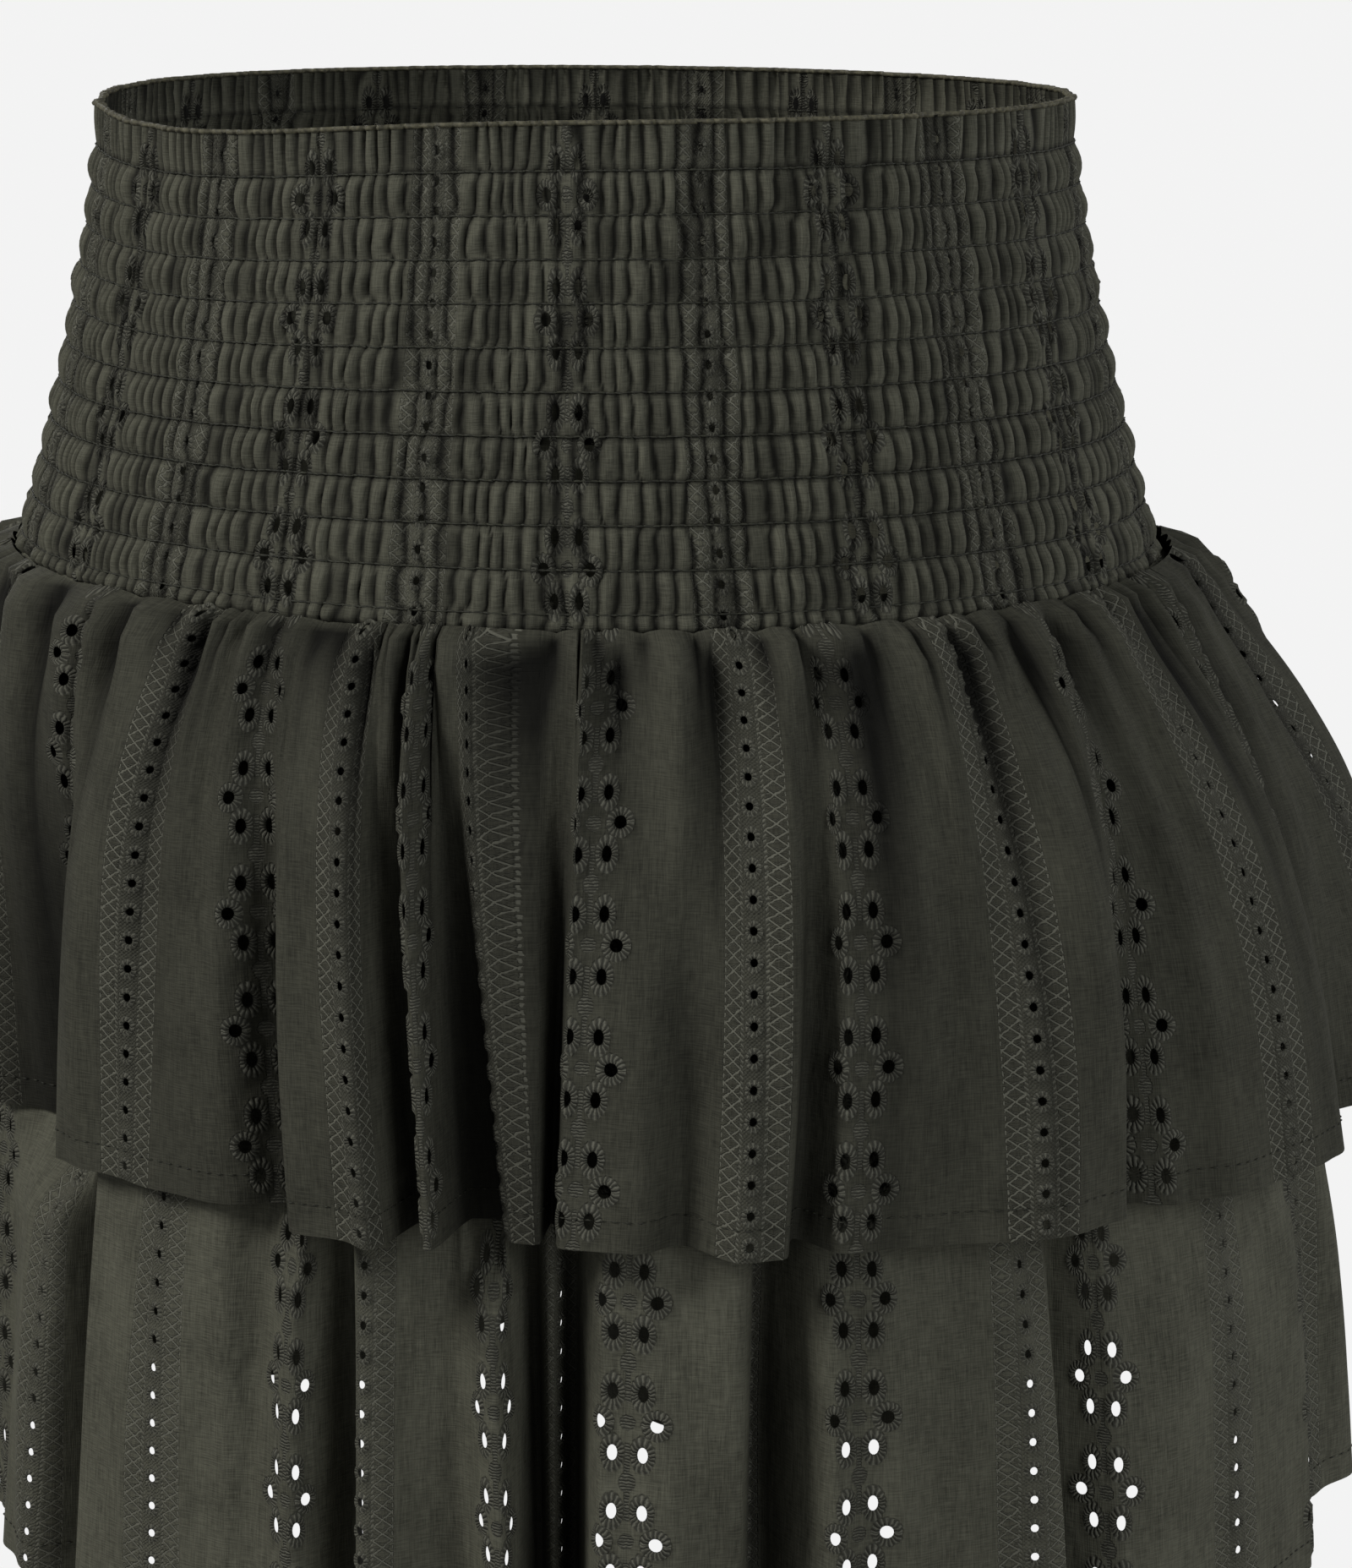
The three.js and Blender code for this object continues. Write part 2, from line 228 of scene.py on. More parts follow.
class Yoke:
    """The shirred yoke: flat cloth coordinates (along the rim, down) to places."""

    def __init__(self):
        self.depth = YOKE["depth"]
        rows = SHIRRING["heading"] + SHIRRING["pitch"] * np.arange(SHIRRING["rows"])
        self.stitches = np.concatenate([[0.0], rows, [self.depth]])
        turns = np.linspace(-180, 180, 1441)
        middle = place(turns, self.radius(-50.0, turns), 0 * turns)
        length = np.concatenate([[0], np.cumsum(np.linalg.norm(np.diff(middle, axis=0), axis=1))])
        self.flat = length / length[-1] * BAND_FLAT["around"]
        self.turns = turns
        around_rim = BAND_FLAT["around"]
        self.drift = wander(3, (30, 80), around_rim)
        self.bold = wander(4, (7, 30), around_rim)
        self.swell = wander(5, (12, 60), around_rim)
        self.slant = wander(6, (9, 34), around_rim)
        self.shifts = [wander(20 + k, (16, 60), around_rim) for k in range(len(self.stitches) - 1)]

    def along(self, turn):
        return np.interp(turn, self.turns, self.flat)

    def radius(self, z, turns):
        u = -z / 100
        wide = YOKE["rim"] + YOKE["flare"] * u + YOKE["curve"] * u * u
        return outline(wide, wide * YOKE["roundness"], 0.0, turns)

    def puckers(self, s, v):
        """How far the cloth stands off the stitched face at flat places, and the painted shade that darkens
        its creases and stitch rows.
        """
        row = np.clip(np.searchsorted(self.stitches, v, side="right") - 1, 0, len(self.stitches) - 2)
        top, bottom = self.stitches[row], self.stitches[row + 1]
        share = np.clip((v - top) / (bottom - top), 0, 1)
        loose = np.where(row == 0, np.cos(np.pi / 2 * share), np.sin(np.pi * share))
        slant = PUCKER["slant"] * self.slant(s + 37.0 * row) * (share - 0.5) * loose
        shift = self.drift(s) * PUCKER["drift"] + slant
        pinch = PUCKER["pinch"]
        for k, curve in enumerate(self.shifts):
            below = np.clip((v - self.stitches[k] + pinch) / (2 * pinch), 0, 1)
            near = below * np.clip((self.stitches[k + 1] + pinch - v) / (2 * pinch), 0, 1)
            here = near > 0
            shift[here] += curve(s[here]) * ease(np.clip(near[here] * 1.6, 0, 1)) * PUCKER["shift"]
        count = round(BAND_FLAT["around"] / PUCKER["width"])
        wave = np.pi * count * s / BAND_FLAT["around"] + shift
        height = 1 + PUCKER["bold"] * np.clip(self.bold(s + 31.0 * row), -1.5, 1.5)
        ridge = np.abs(np.sin(wave)) ** PUCKER["round"] * height
        ridge = ridge + PUCKER["split"] * np.abs(np.sin(2.0 * wave + shift)) * (1 - 0.6 * loose)
        across, half = REPEAT["across"], REPEAT["across"] / 2
        flower = np.abs((s - self.phase + half) % across - half) / STIFF["flower"]
        ladder = np.abs((s - self.phase) % across - half) / STIFF["ladder"]
        firm = STIFF["left"] + (1 - STIFF["left"]) * np.clip(np.minimum(flower, ladder), 0, 1) ** 4
        out = ridge * firm * (0.65 + 1.1 * loose) + loose**0.7 * (0.35 + 0.12 * self.swell(s))
        # Painted shade: darkest in the creases between puckers and along the stitch rows.
        hollow = (1 - np.clip(ridge, 0, 1)) * (1.1 + 0.5 * loose) + 0.6 * np.exp(-((loose / 0.14) ** 2))
        return out, np.clip(hollow, 0, 1)

    @property
    def phase(self):
        return float(self.along(BAND_FLAT["anchor_turn"]))

    def at(self, s, v):
        turns = np.interp(s, self.flat, self.turns)
        z = -np.clip(v, 0, self.depth)
        away = ((turns - RIM_DIP["turn"] + 180) % 360 - 180) / RIM_DIP["spread"]
        lowered = z - RIM_DIP["drop"] * np.exp(-away * away) * (1 + z / self.depth)
        out = self.puckers(s, np.clip(v, 0, self.depth))[0] - PUCKER["face"]
        return place(turns, self.radius(z, turns) + out, lowered)

    # Painted shade of the puckers, which darkens the cloth's colour in their creases.
    def hollow(self, s, v):
        return self.puckers(s, np.clip(v, 0, self.depth))[1]


class Tier:
    """A gathered ruffle: flat cloth coordinates (along the hem, down from the seam) to places."""

    def __init__(self, levels, folds, leans, anchor_turn, seed, gather, cover=None):
        self.levels = rows_of(levels, LEVEL_COLUMNS)
        self.folds = rows_of(folds, FOLD_COLUMNS)
        self.leans = rows_of(leans, LEAN_COLUMNS)
        self.cover = cover
        self.turns = np.linspace(-180, 180, 14401)
        half = (self.levels["wide"] + self.levels["deep"]) / 2
        slant = np.hypot(np.diff(self.levels["z"]), np.diff(half))
        self.down = np.concatenate([[0], np.cumsum(slant)])
        self.length = self.down[-1]
        hem = self.bare(self.turns, np.full_like(self.turns, self.length))
        run = np.concatenate([[0], np.cumsum(np.linalg.norm(np.diff(hem, axis=0), axis=1))])
        self.flat = run
        self.width = run[-1]
        self.phase = float(self.along(anchor_turn))
        self.gather = gather
        self.short = wander(seed, (60, 130), self.width)
        self.long = wander(seed + 1, (110, 260), self.width)
        self.reach = wander(seed + 2, (12, 40), self.width)
        self.drape = wander(seed + 3, (40, 90), self.width)
        self.crease = wander(seed + 4, (16, 40), self.width)
        self.measured = None

    def along(self, turn):
        return np.interp(turn, self.turns, self.flat)

    def bare(self, turns, v):
        """The tier's form without gathers, at turns of the hem."""
        at = {name: smooth_table(self.down, self.levels[name], v) for name in LEVEL_COLUMNS}
        raised = (at["z"] - self.levels["z"][-1]) / (self.levels["z"][0] - self.levels["z"][-1])
        leant = turns + around(self.leans, "lean", turns) * raised
        body = outline(at["wide"], at["deep"], at["shift"], leant)
        return place(leant, body + around(self.folds, "out", turns) * at["folds"], at["z"])

    def at(self, s, v):
        turns = np.interp(s, self.flat, self.turns)
        v = np.minimum(v, self.length)
        points = self.bare(turns, v)
        out, _, rise = self.gathers(s, v)
        out = out * self.gather
        away = (turns - SIDE_LIFT["turn"]) / SIDE_LIFT["spread"]
        side = np.exp(-(away**2)) * np.exp(-v / SIDE_LIFT["reach"]) * SIDE_LIFT["height"]
        points[:, 2] += (rise * 1.4 + side) * self.gather
        out += side * self.gather
        settle = np.clip(v / 40, 0, 1)
        out += (self.drape(s + 0.25 * v) * 1.2 + self.crease(s - 0.12 * v) * 0.7) * settle
        distance = np.linalg.norm(points[:, :2], axis=1)
        wanted = distance + out
        if self.cover is not None:
            room = self.cover.inner(points) - UNDER["gap"]
            held = room - UNDER["soft"] * np.logaddexp(0, (room - wanted) / UNDER["soft"])
            free = np.clip((UNDER["free"] - points[:, 2]) / UNDER["over"], 0, 1)
            wanted = held + (wanted - held) * ease(free)
        points[:, :2] *= (wanted / distance)[:, None]
        return points

    def gathers(self, s, v):
        """How far the gathers stand out below the seam, the painted shade in their creases, and how they
        rise at it.
        """
        reach = np.clip(1 + 0.55 * self.reach(s), 0.35, 2.2)
        near = np.clip(v / 2.0, 0, 1) * np.exp(-np.clip(v - 3, 0, None) / (SMALL_GATHER["reach"] * reach))
        far = np.clip(v / 9.0, 0, 1) * np.exp(-np.clip(v - 12, 0, None) / (LARGE_GATHER["reach"] * reach))
        turn = np.pi * s / self.width
        small = round(self.width / SMALL_GATHER["width"]) * turn + GATHER_WANDER * self.short(s)
        small = np.abs(np.sin(small)) ** 0.6
        large = round(self.width / LARGE_GATHER["width"]) * turn + GATHER_WANDER * self.long(s)
        large = np.abs(np.sin(large)) ** 0.7
        out = small * near * (SMALL_GATHER["out"] + SMALL_GATHER["varied"] * self.reach(s))
        out = out + small * np.exp(-v / 4) + (large - 0.4) * far * LARGE_GATHER["out"]
        # Painted shade in the creases between the gathers.
        hollow = (1 - small) ** 1.6 * near * 1.5 + (1 - large) ** 1.6 * far * 1.5
        return out, np.clip(hollow, 0, 1), small * np.exp(-v / 5)

    # Painted shade: darkens the cloth in the deep valleys of the hem's folds and between the gathers.
    def hollow(self, s, v):
        turns = np.interp(s, self.flat, self.turns)
        share = smooth_table(self.down, self.levels["folds"], np.minimum(v, self.length))
        deep = np.clip((-around(self.folds, "out", turns) * share - 8) / 14, 0, 1)
        return np.clip(deep * 0.8 + self.gathers(s, v)[1] * self.gather, 0, 1)

    def measure(self):
        """Distances from the axis, by rows down the cloth and steps of a turn, and each row's height."""
        angles = np.linspace(-180, 180, 2161)
        s = np.linspace(0, self.flat[-1], 4001)
        grid, heights = [], []
        for v in np.linspace(0, self.length, 70):
            ringed = self.at(s, np.full_like(s, v))
            turn = np.degrees(np.unwrap(np.arctan2(ringed[:, 0], -ringed[:, 1])))
            away = np.linalg.norm(ringed[:, :2], axis=1)
            grid.append(np.interp(angles, np.maximum.accumulate(turn), away))
            heights.append(ringed[0, 2])
        return np.array(grid), np.array(heights)

    def inner(self, points):
        """This tier's distance from the axis at the turns and heights of other points."""
        if self.measured is None:
            self.measured = self.measure()
        grid, heights = self.measured
        across = (np.degrees(np.arctan2(points[:, 0], -points[:, 1])) + 180) * (grid.shape[1] - 1) / 360
        down = np.interp(-points[:, 2], -heights, np.arange(len(heights)))
        i = np.minimum(down.astype(int), grid.shape[0] - 2)
        j = np.minimum(across.astype(int), grid.shape[1] - 2)
        a, b = down - i, across - j
        upper = grid[i, j] * (1 - b) + grid[i, j + 1] * b
        lower = grid[i + 1, j] * (1 - b) + grid[i + 1, j + 1] * b
        return upper * (1 - a) + lower * a


def normals_at(surface, s, v):
    """The cloth's outward normals at flat places."""
    across = surface.at(s + 0.4, v) - surface.at(s - 0.4, v)
    down = surface.at(s, v + 0.4) - surface.at(s, np.maximum(v - 0.4, 0))
    normal = np.cross(down, across)
    return normal / np.maximum(np.linalg.norm(normal, axis=1), 1e-9)[:, None]


def cloth_holes():
    """The eyelets of one repeat: centre, half width, half height and the width of the stitched border."""
    holes = []
    middle = REPEAT["along"] / 2
    for x, y, wide, high, border in PETALS:
        for side in (-1, 1):
            for end in (-1, 1) if y else (1,):
                holes.append((REPEAT["flower"] + side * x, middle + end * y, wide, high, border))
    for k in range(4):
        y = LADDER["pitch"] * (k + 0.5)
        holes.append((REPEAT["ladder"], y, LADDER["hole"], LADDER["hole"] * 1.1, LADDER["border"]))
    return holes


def ring(x, y, wide, high, count):
    a = np.arange(count) / count * 2 * np.pi
    return np.stack([x + wide * np.cos(a), y + high * np.sin(a)], -1)


def cloth_cell(columns, rows, pierced=True):
    """One repeat of the flat cloth as points and triangles, with its eyelets cut out or closed."""
    across, along = np.linspace(0, REPEAT["across"], columns + 1), np.linspace(0, REPEAT["along"], rows + 1)
    xs, ys = np.meshgrid(across, along)
    points = np.stack([xs.ravel(), ys.ravel()], -1)
    keep = np.ones(len(points), bool)
    loops = []
    for x, y, wide, high, border in cloth_holes():
        clear = border + 0.45
        keep &= np.hypot((points[:, 0] - x) / (wide + clear), (points[:, 1] - y) / (high + clear)) > 1
        count = 14 if wide > 1 else 10
        for part in (0, 0.5, 1):
            loops.append(ring(x, y, wide + border * part, high + border * part, count))
    points = points[keep]
    edges = []
    for loop in loops:
        first = len(points)
        points = np.concatenate([points, loop])
        edges += [(first + i, first + (i + 1) % len(loop)) for i in range(len(loop))]
    out = delaunay_2d_cdt([Vector(p) for p in points], edges, [], 0, 1e-5)
    points = np.array([tuple(p) for p in out[0]])
    faces = np.array([f for f in out[2] if len(f) == 3])
    middle = points[faces].mean(1)
    solid = np.ones(len(faces), bool)
    for x, y, wide, high, _ in cloth_holes() if pierced else ():
        solid &= np.hypot((middle[:, 0] - x) / wide, (middle[:, 1] - y) / high) > 0.97
    return points, faces[solid]


def border_relief(s, v):
    """How far the stitched borders of the eyelets and the leaves stand up, in mm."""
    x, y = s % REPEAT["across"], v % REPEAT["along"]
    high = np.zeros_like(x)
    for cx, cy, wide, tall, border in cloth_holes():
        size = np.hypot((x - cx) / wide, (y - cy) / tall)
        share = (size - 1) * min(wide, tall) / border
        high = np.maximum(high, 0.7 * np.clip(1 - (2 * share - 1) ** 2, 0, 1))
    ends = np.minimum(y, REPEAT["along"] - y)
    leaf = np.hypot((x - REPEAT["flower"]) / LEAF["half_wide"], ends / LEAF["half_high"])
    return np.maximum(high, 0.5 * np.clip(1 - leaf**2, 0, 1))


def flat_panel(start, end, length, phase, cell):
    """Repeats of the cloth cut to a panel: flat places, pattern places and triangles."""
    points, faces = cell
    first = int(np.floor((start - phase) / REPEAT["across"]))
    last = int(np.ceil((end - phase) / REPEAT["across"]))
    tall = int(np.ceil(length / REPEAT["along"]))
    places, triangles = [], []
    for i in range(first, last):
        for j in range(tall):
            offset = (phase + i * REPEAT["across"], length - (tall - j) * REPEAT["along"])
            triangles.append(faces + len(places) * len(points))
            places.append(points + offset)
    places, triangles = np.concatenate(places), np.concatenate(triangles)
    rounded = np.round(places * 100).astype(int)
    _, index, back = np.unique(rounded, axis=0, return_index=True, return_inverse=True)
    places, triangles = places[index], back.ravel()[triangles]
    inside = (places[:, 0] > start) & (places[:, 0] < end) & (places[:, 1] > 0)
    triangles = triangles[inside[triangles].any(1)]
    pattern = places - (phase, length)
    places = np.stack([np.clip(places[:, 0], start, end), np.clip(places[:, 1], 0, length)], -1)
    used, triangles = np.unique(triangles, return_inverse=True)
    triangles = triangles.reshape(-1, 3)
    places, pattern = places[used], pattern[used]
    a, b, c = (places[triangles[:, k]] for k in range(3))
    area = np.abs(np.cross(b - a, c - a)) / 2
    return places, pattern, triangles[area > 1e-4]


def net(a, b, c, d):
    """Two triangles for each square of a net of points, from the indices of its corners."""
    return np.concatenate([np.stack([a, d, c], -1).reshape(-1, 3), np.stack([a, c, b], -1).reshape(-1, 3)])


def mesh_object(name, points, triangles, material, pattern=None, hollow=None):
    """A mesh object from arrays in mm, with the pattern's flat places as its UV map."""
    mesh = bpy.data.meshes.new(name)
    mesh.vertices.add(len(points))
    mesh.vertices.foreach_set("co", (points * MM).astype(np.float32).ravel())
    mesh.loops.add(triangles.size)
    mesh.loops.foreach_set("vertex_index", triangles.astype(np.int32).ravel())
    mesh.polygons.add(len(triangles))
    mesh.polygons.foreach_set("loop_start", np.arange(0, triangles.size, 3, dtype=np.int32))
    mesh.update(calc_edges=True)
    mesh.polygons.foreach_set("use_smooth", np.ones(len(triangles), bool))
    # Painted shade goes on as a point attribute that darkens the cloth's colour.
    if hollow is not None:
        shade = mesh.attributes.new("hollow", "FLOAT", "POINT")
        shade.data.foreach_set("value", hollow.astype(np.float32))
    if pattern is not None:
        layer = mesh.uv_layers.new(name="flat_mm")
        layer.uv.foreach_set("vector", pattern[triangles.ravel()].astype(np.float32).ravel())
    mesh.validate()
    mesh.materials.append(material)
    piece = bpy.data.objects.new(name, mesh)
    bpy.context.collection.objects.link(piece)
    return piece


def dress(piece, node):
    """Hangs a sheet of cloth that stands for a solid under the root body, and hides the solid."""
    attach(piece, "root")
    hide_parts(node)


def trim(piece):
    """Declares sewing that goes with the cloth."""
    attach(piece, "root")
    return piece


def panel_on(surface, name, start, end, length, cell, material):
    """A panel of embroidered cloth laid on a surface, with raised stitched borders."""
    places, pattern, triangles = flat_panel(start, end, length, surface.phase - REPEAT["flower"], cell)
    s, v = places[:, 0], places[:, 1]
    points = surface.at(s, v)
    relief = border_relief(pattern[:, 0], pattern[:, 1])
    points = points + normals_at(surface, s, v) * relief[:, None]
    # The surface's painted shade goes on with the mesh.
    return mesh_object(name, points, triangles, material, pattern, surface.hollow(s, v))


class Value:
    """A shader socket that does arithmetic by adding Math nodes to its tree."""

    def __init__(self, tree, source):
        self.tree = tree
        self.source = source

    def _math(self, operation, *others, flip=False):
        node = self.tree.nodes.new("ShaderNodeMath")
        node.operation = operation
        terms = [self, *others]
        if flip:
            terms.reverse()
        for socket, term in zip(node.inputs, terms):
            if isinstance(term, Value):
                self.tree.links.new(term.source, socket)
            else:
                socket.default_value = term
        return Value(self.tree, node.outputs[0])

    __add__ = partialmethod(_math, "ADD")
    __sub__ = partialmethod(_math, "SUBTRACT")
    __rsub__ = partialmethod(_math, "SUBTRACT", flip=True)
    __mul__ = partialmethod(_math, "MULTIPLY")
    __truediv__ = partialmethod(_math, "DIVIDE")
    size = partialmethod(_math, "ABSOLUTE")
    wrap = partialmethod(_math, "FLOORED_MODULO")
    wave = partialmethod(_math, "SINE")
    root = partialmethod(_math, "SQRT")
    angle = partialmethod(_math, "ARCTAN2")
    least = partialmethod(_math, "MINIMUM")
    most = partialmethod(_math, "MAXIMUM")

    def step(self, low, high):
        """0 below low, 1 above high, smooth between; the other way round if low is above high."""
        node = self.tree.nodes.new("ShaderNodeMapRange")
        node.interpolation_type = "SMOOTHSTEP"
        node.inputs["From Min"].default_value = min(low, high)
        node.inputs["From Max"].default_value = max(low, high)
        node.inputs["To Min"].default_value = 0.0 if low < high else 1.0
        node.inputs["To Max"].default_value = 1.0 if low < high else 0.0
        self.tree.links.new(self.source, node.inputs["Value"])
        return Value(self.tree, node.outputs["Result"])


def shader_group(name, inputs, outputs):
    """A new shader node group with named sockets; returns its tree, input values and output node."""
    tree = bpy.data.node_groups.new(name, "ShaderNodeTree")
    for label, kind in inputs:
        tree.interface.new_socket(label, in_out="INPUT", socket_type=kind)
    for label, kind in outputs:
        tree.interface.new_socket(label, in_out="OUTPUT", socket_type=kind)
    source = tree.nodes.new("NodeGroupInput")
    return tree, source, tree.nodes.new("NodeGroupOutput")


def split(tree, vector):
    node = tree.nodes.new("ShaderNodeSeparateXYZ")
    tree.links.new(vector, node.inputs[0])
    return Value(tree, node.outputs[0]), Value(tree, node.outputs[1])


def join(tree, x, y):
    node = tree.nodes.new("ShaderNodeCombineXYZ")
    tree.links.new(x.source, node.inputs[0])
    tree.links.new(y.source, node.inputs[1])
    return node.outputs[0]


def noise(tree, vector, scale, detail=2.0, dimensions="2D"):
    node = tree.nodes.new("ShaderNodeTexNoise")
    node.noise_dimensions = dimensions
    node.inputs["Scale"].default_value = scale
    node.inputs["Detail"].default_value = detail
    tree.links.new(vector, node.inputs["Vector"])
    return Value(tree, node.outputs["Fac"])


def eyelet_marks(x, y, wide, high, border, rays):
    """The stitched border round an eyelet at the origin, its radial stitches, and the inside of its hole
    for painted shade.
    """
    size = ((x / wide) * (x / wide) + (y / high) * (y / high)).root()
    across = (size - 1.0) * min(wide, high)
    band = across.step(-0.1, 0.12) * across.step(border + 0.25, border - 0.15)
    stitches = (y.angle(x) * rays).wave() * 0.5 + 0.5
    return band, band * stitches, across.step(0.12, -0.1)


def embroidery_group():
    """Marks of the flower and ladder stripes from the flat places in mm."""
    tree, source, target = shader_group(
        "Embroidery",
        [("Flat", "NodeSocketVector"), ("Waver", "NodeSocketFloat")],
        [("Thread", "NodeSocketFloat"), ("Height", "NodeSocketFloat"), ("Gap", "NodeSocketFloat")],
    )
    s, v = split(tree, source.outputs["Flat"])
    waver = Value(tree, source.outputs["Waver"])
    rough = noise(tree, join(tree, s, v), 0.9, 1.0) - 0.5
    s = s + rough * waver
    v = v + rough * waver
    x, y = s.wrap(REPEAT["across"]), v.wrap(REPEAT["along"])
    fx = (x - REPEAT["flower"]).size()
    fy = (y - REPEAT["along"] / 2).size()
    # gap marks the insides of the eyelets, which are painted near-black as shade.
    thread = height = gap = None
    for px, py, wide, high, border in PETALS:
        band, rays, hole = eyelet_marks(fx - px, fy - py, wide, high, border, 17.0)
        thread = band if thread is None else thread.most(band)
        height = rays if height is None else height.most(rays)
        gap = hole if gap is None else gap.most(hole)
    ly = y.least(REPEAT["along"] - y)
    lx, ly = fx / LEAF["half_wide"], ly / LEAF["half_high"]
    leaf = (lx * lx + ly * ly).root()
    satin = leaf.step(1.1, 0.85)
    stem = fx.step(0.75, 0.45) * fy.step(4.2, 5.2)
    satin = satin.most(stem)
    heart = ((fx * fx) + (fy * fy)).root().step(2.0, 1.6)
    satin = satin.most(heart)
    thread = thread.most(satin)
    height = height.most(satin * ((v * 9.0).wave() * 0.45 + 0.55))
    bx = (x - REPEAT["ladder"]).size()
    by = y.wrap(LADDER["pitch"]) - LADDER["pitch"] / 2
    band, rays, hole = eyelet_marks(bx, by, LADDER["hole"], LADDER["hole"] * 1.1, LADDER["border"], 11.0)
    cord = (bx - LADDER["cord"]).size().step(0.55, 0.3)
    twist = (v * 5.6 + bx * 4.0).wave() * 0.35 + 0.65
    fill = bx.step(LADDER["cord"] + 0.2, LADDER["cord"] - 0.4)
    seeds = (v * 7.0).wave() * (s * 6.0).wave() * 0.5 + 0.5
    middle = LADDER["cord"] + 2.5
    ax = ((bx - middle) / 2.3).size()
    ay = (v.wrap(LADDER["cross"]) / (LADDER["cross"] / 2) - 1.0).size()
    inside = bx.step(LADDER["edge"], LADDER["edge"] - 0.15) * bx.step(LADDER["cord"], LADDER["cord"] + 0.2)
    cross = (ax - ay).size().step(0.26, 0.1) * inside
    second = ((ax - (ay - 0.5).size() * 2.0).size()).step(0.2, 0.06) * inside * 0.6
    edge = (bx - LADDER["edge"]).size().step(0.32, 0.12) * ((v * 3.9).wave()).step(-0.75, -0.3)
    for part in (band, cord * twist, cross, second, edge, fill * seeds * 0.65):
        thread = thread.most(part)
    for part in (rays, cord * twist, cross, second, edge, fill * seeds * 0.5):
        height = height.most(part)
    gap = gap.most(hole)
    for label, value in (("Thread", thread), ("Height", height), ("Gap", gap)):
        tree.links.new(value.source, target.inputs[label])
    return tree


def weave_group():
    """Fine warp and weft of the voile, with its uneven yarns, from the flat places in mm."""
    tree, source, target = shader_group(
        "Voile weave",
        [("Flat", "NodeSocketVector")],
        [("Tone", "NodeSocketFloat"), ("Height", "NodeSocketFloat")],
    )
    s, v = split(tree, source.outputs["Flat"])
    warp = noise(tree, join(tree, s * 3.2, v * 0.22), 1.0, 2.0)
    weft = noise(tree, join(tree, s * 0.22, v * 3.2), 1.0, 2.0)
    blotch = noise(tree, join(tree, s, v * 0.6), 0.055, 3.0)
    slub = noise(tree, join(tree, s * 0.9, v * 0.07), 1.0, 1.0)
    tone = warp * 0.42 + weft * 0.42 + blotch * 0.35 + slub * 0.2 + 0.3
    tree.links.new(tone.source, target.inputs["Tone"])
    tree.links.new((warp + weft + blotch * WRINKLE).source, target.inputs["Height"])
    return tree


def group_node(tree, group, vector):
    node = tree.nodes.new("ShaderNodeGroup")
    node.node_tree = group
    tree.links.new(vector, node.inputs["Flat"])
    return node


def bumped(tree, shader, height, distance):
    """Roughens a shader by a height, of which 1 stands distance high."""
    bump = tree.nodes.new("ShaderNodeBump")
    bump.inputs["Distance"].default_value = distance
    tree.links.new(height.source, bump.inputs["Height"])
    tree.links.new(bump.outputs["Normal"], shader.inputs["Normal"])


def blank_material(name):
    """A new material, its tree and its shader."""
    material = bpy.data.materials.new(name)
    material.use_nodes = True
    return material, material.node_tree, material.node_tree.nodes["Principled BSDF"]


def mixed(tree, share, first, second):
    """A colour between two; each is a socket or plain numbers."""
    node = tree.nodes.new("ShaderNodeMix")
    node.data_type = "RGBA"
    tree.links.new(share.source, node.inputs["Factor"])
    for label, colour in (("A", first), ("B", second)):
        socket = [i for i in node.inputs if i.name == label and i.type == "RGBA"][0]
        if isinstance(colour, (tuple, list)):
            socket.default_value = (*colour, 1.0)
        else:
            tree.links.new(colour, socket)
    return [o for o in node.outputs if o.type == "RGBA"][0]


def cotton_material(name, cloth, thread, embroidered=True, waver=0.5):
    """Matt cotton voile, with or without embroidery, from a UV map in flat mm."""
    material, tree, shader = blank_material(name)
    place_node = tree.nodes.new("ShaderNodeUVMap")
    place_node.uv_map = "flat_mm"
    flat = place_node.outputs[0]
    weave = group_node(tree, SHARED["weave"], flat)
    tone = Value(tree, weave.outputs["Tone"])
    dark = tuple(c * 0.3 for c in cloth)
    light = tuple(c * 1.7 for c in cloth)
    base = mixed(tree, tone.step(0.5, 1.4), dark, light)
    height = Value(tree, weave.outputs["Height"]) * 0.12
    if embroidered:
        marks = group_node(tree, SHARED["embroidery"], flat)
        marks.inputs["Waver"].default_value = waver
        threads = Value(tree, marks.outputs["Thread"])
        lift = Value(tree, marks.outputs["Height"])
        # Painted shade: the embroidery thread darkens to a third of its colour in the low grooves between
        # its stitches.
        yarn = mixed(tree, lift, tuple(c * 0.32 for c in thread), thread)
        base = mixed(tree, threads, base, yarn)
        # Painted shade: the insides of the eyelets are painted near-black, closed ones too, for the dark
        # seen through them.
        base = mixed(tree, Value(tree, marks.outputs["Gap"]), base, (0.002, 0.002, 0.0015))
        height = height + lift * 0.5
    # Painted shade: the point attribute darkens the cloth towards 8% of its colour in creases and fold
    # valleys.
    shade = tree.nodes.new("ShaderNodeAttribute")
    shade.attribute_name = "hollow"
    base = mixed(tree, Value(tree, shade.outputs["Fac"]) * 0.95, base, tuple(c * 0.08 for c in cloth))
    tree.links.new(base, shader.inputs["Base Color"])
    bumped(tree, shader, height, MM)
    shader.inputs["Roughness"].default_value = 0.85
    shader.inputs["Specular IOR Level"].default_value = 0.15
    return material


def thread_material(name, colour):
    """Twisted sewing thread."""
    material, tree, shader = blank_material(name)
    place_node = tree.nodes.new("ShaderNodeTexCoord")
    fleck = noise(tree, place_node.outputs["Object"], 900.0, 2.0, "3D")
    dark, light = (tuple(share * c for c in colour) for share in (0.55, 1.4))
    base = mixed(tree, fleck.step(0.3, 0.7), dark, light)
    tree.links.new(base, shader.inputs["Base Color"])
    bumped(tree, shader, fleck, 0.2 * MM)
    shader.inputs["Roughness"].default_value = 0.7
    return material


SHARED = {}


